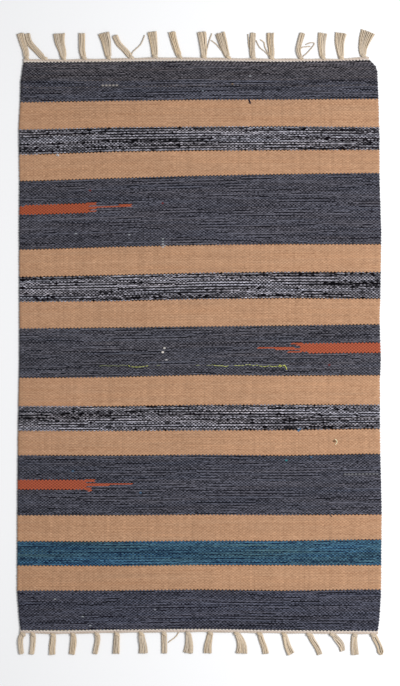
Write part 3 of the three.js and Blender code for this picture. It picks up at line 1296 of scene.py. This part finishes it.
@dataclass(frozen=True)
class SpunYarn:
    """A yarn of plies twisted together, as a tube whose section has a lobe for each ply."""

    radius: float = 1.05
    plies: int = 2
    lobe: float = 0.16
    twist_length: float = 6.5
    sides: int = 8
    tip_share: float = 0.55

    def axes(self, path: np.ndarray, closed: bool) -> tuple[np.ndarray, np.ndarray]:
        """The directions to the side of a path and up from it.

        Args:
            path: The yarn's middle line, n by 3.
            closed: Whether it is a ring, whose side is then square to the ring's plane.

        Returns:
            A vector of length 1 for each point, twice.
        """
        if closed:
            heading = unit(np.roll(path, -1, axis=0) - np.roll(path, 1, axis=0))
            plane = np.linalg.svd(path - path.mean(axis=0))[2][2]
            side = unit(np.broadcast_to(plane, path.shape))
        else:
            heading = unit(np.gradient(path, axis=0))
            side = unit(np.cross(heading, [0.0, 0.0, 1.0]))
        return side, np.cross(side, heading)

    def walls(self, rings: int, run: np.ndarray) -> Surface:
        """The triangles between a tube's rings.

        Args:
            rings: How many rings there are.
            run: How far along each ring lies, with one more where the last ring joins the first.

        Returns:
            The tube's walls.
        """
        r, s = (each.ravel() for each in np.indices((len(run) - 1, self.sides)))
        next_r, next_s = (r + 1) % rings * self.sides, (s + 1) % self.sides
        own, beside = r * self.sides + s, r * self.sides + next_s
        ahead, across = next_r + s, next_r + next_s
        u0, u1 = run[r], run[r + 1]
        v0, v1 = self.girth(s), self.girth(s + 1)
        return Surface(
            np.concatenate([np.stack([own, across, beside], 1), np.stack([own, ahead, across], 1)]),
            np.concatenate([np.stack([u0, u1, u0], 1), np.stack([u0, u1, u1], 1)]),
            np.concatenate([np.stack([v0, v1, v1], 1), np.stack([v0, v0, v1], 1)]),
        )

    def caps(self, rings: int, run: np.ndarray) -> Surface:
        """The triangles over a tube's two tips, round a vertex of its own at each.

        Args:
            rings: How many rings there are, which the two vertices follow.
            run: How far along each ring lies.

        Returns:
            The tube's ends.
        """
        s = np.arange(self.sides)
        next_s = (s + 1) % self.sides
        last = (rings - 1) * self.sides
        first_tip, last_tip = (np.full(self.sides, rings * self.sides + tip) for tip in range(2))
        starting = np.stack([first_tip, s, next_s], 1)
        ending = np.stack([last_tip, last + next_s, last + s], 1)
        ends = ((0, 1), (-1, -2))
        along = [np.tile(run[[tip, rim, rim]], (self.sides, 1)) for tip, rim in ends]
        around = self.girth(np.stack([s + 0.5, s, s + 1], 1))
        return Surface(
            np.concatenate([starting, ending]), np.concatenate(along), np.concatenate([around, around])
        )

    def girth(self, side: np.ndarray) -> np.ndarray:
        """How far round the yarn its sides lie, when it is unrolled."""
        return side * (2 * math.pi * self.radius / self.sides)

    def tube(self, path: np.ndarray, phase: float, closed: bool = False) -> tuple[Part, np.ndarray]:
        """Builds the yarn along a path.

        Args:
            path: Its middle line in millimetres, n by 3.
            phase: Where its twist starts, in radians.
            closed: Whether the last point joins the first.

        Returns:
            The yarn's mesh, and how far up each of its triangles faces, from -1 to 1.
        """
        steps = np.linalg.norm(np.diff(path, axis=0), axis=1)
        run = np.concatenate([[0], np.cumsum(steps)])
        turns = run / self.twist_length
        if closed:
            turns = np.arange(len(path)) / len(path) * max(round(turns[-1]), 1)
        angle = np.linspace(0, 2 * math.pi, self.sides, endpoint=False)
        spin = phase + 2 * math.pi * turns / self.plies
        lobes = np.cos(self.plies * (angle - spin[:, None]))
        reach = self.radius * (1 + self.lobe * lobes) / (1 + self.lobe)
        if not closed:
            reach[[0, -1]] *= self.tip_share
        side, rise = self.axes(path, closed)
        sideways = (reach * np.cos(angle))[:, :, None] * side[:, None]
        upwards = (reach * np.sin(angle))[:, :, None] * rise[:, None]
        vertices = (path[:, None] + sideways + upwards).reshape(-1, 3)
        if closed:
            surface = self.walls(len(path), np.append(run, run[-1] + steps[-1]))
        else:
            vertices = np.concatenate([vertices, path[[0, -1]]])
            walls, caps = self.walls(len(path), run), self.caps(len(path), run)
            surface = Surface(*(np.concatenate(pair) for pair in zip(walls, caps)))
        return Part(vertices * MILLIMETRE, *surface), facing_up(vertices, surface.faces)


class LooseThread(NamedTuple):
    """A bit of thread lying on the cloth.

    Its points are in pixels of the photograph, and half its thickness and how deep it dips
    between the warps in millimetres.
    """

    points: tuple[tuple[float, float], ...]
    radius: float
    colour: tuple[float, float, float]
    dip: float = 0.0


LIME, DIM_LIME = (188, 194, 100), (136, 142, 100)
LOOSE_THREADS = (
    LooseThread(((249.1, 99.3), (249.7, 101.4), (250.6, 103.8)), 1.25, (34, 30, 48)),
    LooseThread(((56.4, 155.7), (57.5, 154.1), (58.8, 155.4), (57.4, 156)), 0.85, (202, 202, 206)),
    LooseThread(
        ((99, 366.2), (104, 365.4), (109, 366), (114, 365.5), (118, 366.1), (122, 365.1), (127, 365.7)),
        0.42, DIM_LIME, 0.6,
    ),
    LooseThread(
        ((128, 365.3), (131, 366.5), (134.5, 366.9), (138, 367), (142, 366.7), (145, 366.3), (149, 365.6)),
        0.55, LIME, 0.65,
    ),
    LooseThread(((156.5, 365.5), (160.5, 365.2)), 0.45, DIM_LIME),
    LooseThread(((196, 365.4), (199.6, 365.2)), 0.5, DIM_LIME),
    LooseThread(((206.5, 365.5), (211, 365.3), (212.6, 363.9)), 0.45, DIM_LIME),
    LooseThread(
        ((213.5, 365.1), (217, 365.7), (222, 365.8), (226, 366.6), (228.4, 365.3)),
        0.5, LIME, 0.65,
    ),
    LooseThread(
        (
            (232.8, 365.3), (238, 365.6), (243, 365.4), (246, 364.8), (249, 364.6), (253, 365.5),
            (257, 365.1), (260, 365.9), (264.5, 366.7), (269, 365.8), (273, 366.6), (277.5, 366),
        ),
        0.5, LIME, 0.7,
    ),
    LooseThread(((278.4, 366.7), (279.8, 365), (281.4, 366), (279.4, 367)), 0.65, LIME),
    LooseThread(((282.6, 366.2), (284.2, 365.2), (285.6, 366.6), (286.9, 369.6)), 0.8, LIME),
    LooseThread(((334.5, 439.1), (336.7, 440.4), (336.8, 442.7), (335.1, 444.7)), 0.75, (232, 222, 184)),
    LooseThread(((330.6, 515.6), (332.2, 516.8)), 0.75, (44, 42, 50)),
)


@dataclass
class LooseThreads:
    """The few slubs and loose ends that stand on the cloth."""

    plan: ClothPlan = ClothPlan()
    spacing: float = 0.9
    least_points: int = 14
    standing: float = 0.5
    twist_length: float = 3.5
    # Painted shade on the undersides of the threads
    painted_groove_shade: float = 0.25

    def path(self, thread: LooseThread) -> np.ndarray:
        """The middle line of a thread, which rises over the warps and dips between them.

        Args:
            thread: The thread.

        Returns:
            Points in millimetres from the cloth's middle, n by 3.
        """
        points = np.array([from_photo(*point) for point in thread.points])
        length = np.linalg.norm(np.diff(points, axis=0), axis=1).sum()
        flat = smooth_path(points, max(round(length / self.spacing), self.least_points))
        wave = np.cos(flat[:, 0] * math.pi * self.plan.warps / self.plan.width)
        height = self.plan.thickness + self.standing * thread.radius + thread.dip * (wave - 1)
        return np.concatenate([flat, height[:, None]], axis=1)

    def build(self) -> bpy.types.Object:
        """Makes them as one piece.

        Returns:
            The threads' object.
        """
        parts = MeshParts()
        shift = np.append(self.plan.shift(), 0.0)
        for thread in LOOSE_THREADS:
            yarn = SpunYarn(thread.radius, twist_length=self.twist_length)
            part, tops = yarn.tube(self.path(thread) + shift, 0.0)
            # Painted shade: each thread is drawn darker where its faces turn down
            shade = 1 - self.painted_groove_shade + self.painted_groove_shade * tops
            parts.add(part, dye(*thread.colour) * shade[:, None])
        made = parts.build("loose_threads", LOOSE_FINISH)
        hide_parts("woven_cloth")
        return made


class HeadingCord(NamedTuple):
    """A cord of the heading: how far out it lies, its middle's height, how far it waves, its dye."""

    offset: float
    height: float
    wave: float
    colour: tuple[float, float, float]


HEADING_CORDS = (
    HeadingCord(0.7, 2.15, 0, (218, 209, 199)),
    HeadingCord(2.5, 2.4, 0.175, (203, 187, 176)),
    HeadingCord(4.2, 2.15, 0.35, (198, 184, 170)),
)


@dataclass(frozen=True)
class Heading:
    """The sizes of a heading: its band of close warp ends, and how the cords lie on it.

    The band reaches inwards under the cloth's end and outwards to its own rim, and its girths are
    where its lines of corners lie when it is unrolled. The spacing is between points of a cord.
    """

    width: float = 5.3
    inner: float = 2.4
    outer: float = 4.9
    foot: float = 0.4
    ridges: tuple[float, float] = (2.5, 1.9)
    girths: tuple[float, ...] = (0.0, 1.9, 5.4, 7.3, 9.8)
    tone_spread: float = 0.02
    shade: float = 0.9
    yarn: SpunYarn = SpunYarn(1.15, lobe=0.22, twist_length=5.5)
    spacing: float = 1.3
    overhang: float = 0.5
    wave_length: float = 9.0
    wave_step: float = 2.0


@dataclass(frozen=True)
class TasselLay:
    """How the yarns of the tassels lie: their layers, how close they come, how they sway and loop.

    The closest and widest are shares of a yarn's breadth, the upper layer's height is in its
    radii, and the gathering near the root is by shares of its length and of its place.
    """

    yarn: SpunYarn = SpunYarn(lobe=0.1)
    stray: SpunYarn = SpunYarn(0.95)
    stray_points: int = 26
    yarn_spacing: float = 2.35
    yarn_counts: tuple[int, int] = (5, 8)
    upper_layer: float = 2.65
    root_width: float = 9.2
    root_inset: float = 1.0
    widest_at_root: float = 0.95
    closest_at_tip: float = 0.8
    tip_unevenness: float = 1.4
    ring_spacing: float = 1.4
    least_points: int = 8
    gathered_until: float = 1 / 6
    gathered_to: float = 0.55
    wander: float = 0.35
    wander_turns: tuple[float, float] = (3, 7)
    lift: float = 0.25
    lift_turns: tuple[float, float] = (4, 8)
    sway_start: tuple[float, float] = (0, 6)
    loops: int = 2
    loop_gap: float = 0.6
    loop_drift: float = 0.3

    def layers(self) -> tuple[float, float]:
        """The heights of the two layers' middle lines."""
        return self.yarn.radius, self.upper_layer * self.yarn.radius


@dataclass(frozen=True)
class Knot:
    """The turns of yarn round a tassel's root; their tilt is in degrees, and its spread in radians."""

    turns: int = 3
    pitch: float = 1.75
    half_width: float = 4.2
    narrowing: float = 0.5
    beyond: float = 1.4
    middle_height: float = 2.7
    half_height: float = 1.7
    tilt: tuple[float, float] = (14, 34)
    tilt_spread: float = 0.08
    tone_spread: float = 0.06
    points: int = 20
    yarn: SpunYarn = SpunYarn(1.0, lobe=0.14, twist_length=4.5, sides=7)


@dataclass
class Fringe:
    """One end's finish: a twined heading, and knotted tassels with their strayed yarns.

    The side is 1 at the far end and -1 at the near one, and the groove shade is how much painted
    shade darkens a yarn below against above.
    """

    name: str
    node: str
    end: tuple[EndPoint, ...]
    side: int
    tassels: tuple[TasselRow, ...]
    strays: tuple[tuple[tuple[float, float], ...], ...]
    seed: int
    plan: ClothPlan = ClothPlan()
    heading: Heading = Heading()
    lay: TasselLay = TasselLay()
    knot: Knot = Knot()
    cotton: tuple[float, float, float] = (200, 183, 161)
    tone_spread: float = 0.08
    warmth_spread: float = 0.02
    # Painted shade on the undersides of the yarns
    painted_groove_shade: float = 0.32

    def __post_init__(self) -> None:
        """Starts the fringe's mesh and its own seeded source of variation."""
        self.rng = np.random.default_rng(self.seed)
        self.parts = MeshParts()
        self.shift = np.append(self.plan.shift(), 0.0)

    def tint(self, spread: float) -> np.ndarray:
        """The colour of one yarn of undyed cotton.

        Args:
            spread: How much its tone differs from yarn to yarn.

        Returns:
            A linear colour.
        """
        warm = self.rng.normal(0, self.warmth_spread)
        tone = math.exp(self.rng.normal(0, spread))
        return dye(*self.cotton) * tone * np.array([1 + warm, 1, 1 - 2 * warm])

    def rim_at(self, across: float) -> float:
        """Where the heading's outer rim lies along the rug."""
        return float(end_at(self.end, across)) + self.side * self.heading.width

    def add_yarn(
        self, path: np.ndarray, yarn: SpunYarn, colour: np.ndarray, closed: bool = False
    ) -> None:
        """Adds one yarn, with painted shade that darkens it below against above.

        Args:
            path: Its middle line, in millimetres from the cloth's middle.
            yarn: How it is spun.
            colour: Its linear colour.
            closed: Whether it is a ring.
        """
        phase = self.rng.uniform(0, 2 * math.pi)
        part, tops = yarn.tube(path + self.shift, phase, closed)
        # Painted shade: the yarn's downward faces are drawn darker
        shade = 1 - self.painted_groove_shade * (1 - tops) / 2
        self.parts.add(part, colour * shade[:, None])

    def add_band(self) -> None:
        """Lays the heading's band of close warp ends, a strip with a ridge at each of them."""
        heading = self.heading
        low, high = self.end[0].across, self.end[-1].across
        across = np.linspace(low, high, 2 * self.plan.warps + 1)
        count = len(across)
        top = np.where(np.arange(count) % 2 == 0, *heading.ridges)
        base = end_at(self.end, across)
        inner, outer = base - self.side * heading.inner, base + self.side * heading.outer
        lines = ((inner, heading.foot), (inner, top), (outer, top), (outer, heading.foot))
        rows = [np.stack([across, along, np.broadcast_to(z, count)], 1) for along, z in lines]
        i = np.arange(count - 1)
        faces = []
        for line in range(len(lines)):
            a, b = line * count + i, (line + 1) * count + i
            faces += [np.stack([a, b, b + 1], 1), np.stack([a, b + 1, a + 1], 1)]
        cap = np.array([[0, 2, 1], [0, 3, 2]]) * count
        faces = np.concatenate([*faces, cap, cap[:, ::-1] + count - 1])
        run = (across - low)[faces % count]
        girth = np.array(heading.girths)[faces // count]
        faces %= len(lines) * count
        if self.side > 0:
            faces, run, girth = faces[:, ::-1], run[:, ::-1], girth[:, ::-1]
        vertices = (np.concatenate(rows) + self.shift) * MILLIMETRE
        colour = self.tint(heading.tone_spread) * heading.shade
        self.parts.add(Part(vertices, faces, run, girth), colour)

    def add_cords(self) -> None:
        """Twines the heading's cords over its band."""
        heading = self.heading
        low, high = self.end[0].across, self.end[-1].across
        count = round((high - low) / heading.spacing)
        across = np.linspace(low - heading.overhang, high + heading.overhang, count)
        for number, cord in enumerate(HEADING_CORDS):
            wave = cord.wave * np.sin(across / heading.wave_length + heading.wave_step * number)
            along = end_at(self.end, across) + self.side * (cord.offset + wave)
            path = np.stack([across, along, np.full(count, cord.height)], 1)
            self.add_yarn(path, heading.yarn, dye(*cord.colour))

    def sway(self, share: np.ndarray, turns: tuple[float, float]) -> np.ndarray:
        """A slow wave along a yarn, from a place of its own."""
        return np.sin(share * self.rng.uniform(*turns) + self.rng.uniform(*self.lay.sway_start))

    def yarn_path(
        self, row: TasselRow, offsets: tuple[float, float], length: float, z: float
    ) -> np.ndarray:
        """The middle line of one yarn of a tassel.

        Args:
            row: The tassel.
            offsets: How far the yarn lies to the side at the root and at the tip.
            length: How far it reaches beyond the heading.
            z: The height of its middle line.

        Returns:
            Points in millimetres.
        """
        lay, rim = self.lay, self.rim_at(row.root)
        count = max(round(length / lay.ring_spacing), lay.least_points)
        stations = [
            (x, rim + self.side * (length * share - lay.root_inset))
            for x, share in zip((row.root, row.third, row.two_thirds, row.tip), (0, 1 / 3, 2 / 3, 1))
        ]
        flat = smooth_path(stations, count)
        heading = unit(np.gradient(flat, axis=0))
        rightward = np.stack([heading[:, 1], -heading[:, 0]], 1)
        share = np.linspace(0, 1, count)[:, None]
        wander = self.rng.normal(0, lay.wander) * self.sway(share, lay.wander_turns)
        gather = np.clip(share / lay.gathered_until, lay.gathered_to, 1)
        offset = (offsets[0] + (offsets[1] - offsets[0]) * share) * gather + wander
        lift = lay.lift * self.sway(share[:, 0], lay.lift_turns)
        height = np.maximum(z + lift, lay.yarn.radius)
        return np.concatenate([flat + rightward * offset, height[:, None]], axis=1)

    def add_tassel(self, row: TasselRow) -> None:
        """Adds a tassel's yarns in two layers and the knot at its root.

        Args:
            row: The tassel.
        """
        lay = self.lay
        pitch = 2 * lay.yarn.radius
        if row.looped:
            self.add_loops(row)
        else:
            lower = int(np.clip(round(row.spread / lay.yarn_spacing), *lay.yarn_counts))
            tip_pitch = max((row.spread - pitch) / (lower - 1), lay.closest_at_tip * pitch)
            root_pitch = min((lay.root_width - pitch) / (lower - 1), lay.widest_at_root * pitch)
            for count, z in zip((lower, lower - 1), lay.layers()):
                for place in np.arange(count) - (count - 1) / 2:
                    length = row.reach - self.rng.uniform(0, lay.tip_unevenness)
                    path = self.yarn_path(row, (place * root_pitch, place * tip_pitch), length, z)
                    self.add_yarn(path, lay.yarn, self.tint(self.tone_spread))
        self.add_knot(row)

    def add_loops(self, row: TasselRow) -> None:
        """Adds the yarns of a tassel that turn back in nested round loops.

        Args:
            row: The tassel.
        """
        lay = self.lay
        pitch = 2 * lay.yarn.radius
        for z in lay.layers():
            for ring in range(lay.loops):
                offset = lay.loop_gap + (ring + 0.5) * pitch
                length = row.reach - (lay.loops - 1 - ring) * pitch - offset
                leg = self.yarn_path(row, (offset, offset), length, z)
                back = self.yarn_path(row, (-offset, -offset), length, z)
                turn = (leg[-1] + back[-1]) / 2
                turn[:2] += (lay.loop_drift * offset, self.side * offset)
                corners = np.concatenate([leg, [turn], back[::-1]])
                path = smooth_path(corners[::2], 2 * len(leg))
                self.add_yarn(path, lay.yarn, self.tint(self.tone_spread))

    def add_knot(self, row: TasselRow) -> None:
        """Winds the turns of the knot round the root of a tassel.

        Args:
            row: The tassel.
        """
        knot, rim = self.knot, self.rim_at(row.root)
        tilt = -math.radians(self.rng.uniform(*knot.tilt))
        angle = np.linspace(0, 2 * math.pi, knot.points, endpoint=False)
        z = knot.middle_height + knot.half_height * np.sin(angle)
        for turn in range(knot.turns):
            off_middle = turn - (knot.turns - 1) / 2
            x = (knot.half_width - knot.narrowing * abs(off_middle)) * np.cos(angle)
            lean = tilt + self.rng.normal(0, knot.tilt_spread)
            along = rim + self.side * (knot.beyond + off_middle * knot.pitch) + x * math.sin(lean)
            path = np.stack([row.root + x * math.cos(lean), along, z], 1)
            self.add_yarn(path, knot.yarn, self.tint(knot.tone_spread), closed=True)

    def build(self) -> bpy.types.Object:
        """Makes the whole fringe as one piece.

        Returns:
            The fringe's object.
        """
        self.add_band()
        self.add_cords()
        for row in self.tassels:
            self.add_tassel(row)
        for points in self.strays:
            rim = self.rim_at(points[0][0])
            places = [(x, rim + self.side * beyond, self.lay.yarn.radius) for x, beyond in points]
            path = smooth_path(places, self.lay.stray_points)
            self.add_yarn(path, self.lay.stray, self.tint(self.tone_spread))
        made = self.parts.build(self.name, FRINGE_FINISH)
        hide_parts(self.node)
        return made


@dataclass(frozen=True)
class Studio:
    """The plain pale floor, the soft light and the camera straight above the rug, in metres."""

    floor_size: float = 30.0
    floor_drop: float = 0.0002
    floor_tone: tuple[float, float, float] = (0.86, 0.86, 0.87)
    floor_roughness: float = 0.8
    view_height: float = PHOTO_HEIGHT * PHOTO_SCALE * MILLIMETRE
    middle: tuple[float, float] = (-0.00064, -0.0013)
    distance: float = 3.2
    cloth_height: float = 0.004
    sensor: float = 36
    clip_end: float = 50
    light_place: tuple[float, float, float] = (1.45, 0.05, 1.8)
    light_size: float = 0.8
    light_power: float = 51
    sky_tone: tuple[float, float, float] = (0.98, 0.99, 1)
    sky_strength: float = 0.5

    def floor(self) -> None:
        """Lays the floor under the rug."""
        half = self.floor_size / 2
        mesh = bpy.data.meshes.new("floor")
        corners = ((-half, -half), (half, -half), (half, half), (-half, half))
        mesh.from_pydata([(x, y, -self.floor_drop) for x, y in corners], [], [(0, 1, 2, 3)])
        made = bpy.data.objects.new("floor", mesh)
        paint = bpy.data.materials.new("pale_floor")
        paint.use_nodes = True
        surface = {"Base Color": (*self.floor_tone, 1), "Roughness": self.floor_roughness}
        set_inputs(paint.node_tree.nodes["Principled BSDF"], surface)
        mesh.materials.append(paint)
        bpy.context.scene.collection.objects.link(made)

    def light(self) -> None:
        """Adds the square soft light, which faces the middle of the rug."""
        data = bpy.data.lights.new("key_light", "AREA")
        data.size = self.light_size
        data.energy = self.light_power
        made = bpy.data.objects.new("key_light", data)
        made.location = self.light_place
        made.rotation_euler = (-Vector(self.light_place)).to_track_quat("-Z", "Y").to_euler()
        bpy.context.scene.collection.objects.link(made)

    def sky(self) -> None:
        """Adds the even light from all round."""
        world = bpy.data.worlds.new("studio")
        world.use_nodes = True
        glow = {"Color": (*self.sky_tone, 1), "Strength": self.sky_strength}
        set_inputs(world.node_tree.nodes["Background"], glow)
        bpy.context.scene.world = world

    def camera(self) -> None:
        """Adds the camera, whose long lens frames the rug from straight above."""
        data = bpy.data.cameras.new("camera")
        data.sensor_width = self.sensor
        data.lens = data.sensor_width * self.distance / self.view_height
        data.clip_end = self.clip_end
        made = bpy.data.objects.new("camera", data)
        made.location = (*self.middle, self.distance + self.cloth_height)
        bpy.context.scene.collection.objects.link(made)
        bpy.context.scene.camera = made

    def build(self) -> None:
        """Sets up the camera, the floor, the lights and the plain display of colour."""
        self.camera()
        self.floor()
        self.light()
        self.sky()
        bpy.context.scene.view_settings.view_transform = "Standard"


def report(pieces: Sequence[bpy.types.Object]) -> None:
    """Logs each piece with how many faces it has."""
    for piece in pieces:
        LOG.info("%s: %d faces", piece.name, len(piece.data.polygons))


def main() -> None:
    """Builds the studio, the cloth and the two fringes, and reports each piece."""
    logging.basicConfig(level=logging.INFO, format="%(name)s: %(message)s")
    Studio().build()
    plan = ClothPlan()
    cloth = Cloth(plan)
    report(cloth.build())
    far = Fringe(
        name="far_fringe_yarns", node="far_fringe", end=FAR_END, side=1,
        tassels=FAR_TASSELS, strays=FAR_STRAYS, seed=41, plan=plan,
    )
    near = Fringe(
        name="near_fringe_yarns", node="near_fringe", end=NEAR_END, side=-1,
        tassels=NEAR_TASSELS, strays=NEAR_STRAYS, seed=42, plan=plan,
    )
    fastened = [far.build(), near.build(), LooseThreads(plan).build()]
    cloth.declare(*fastened)
    report(fastened)


if __name__ == "__main__":
    main()
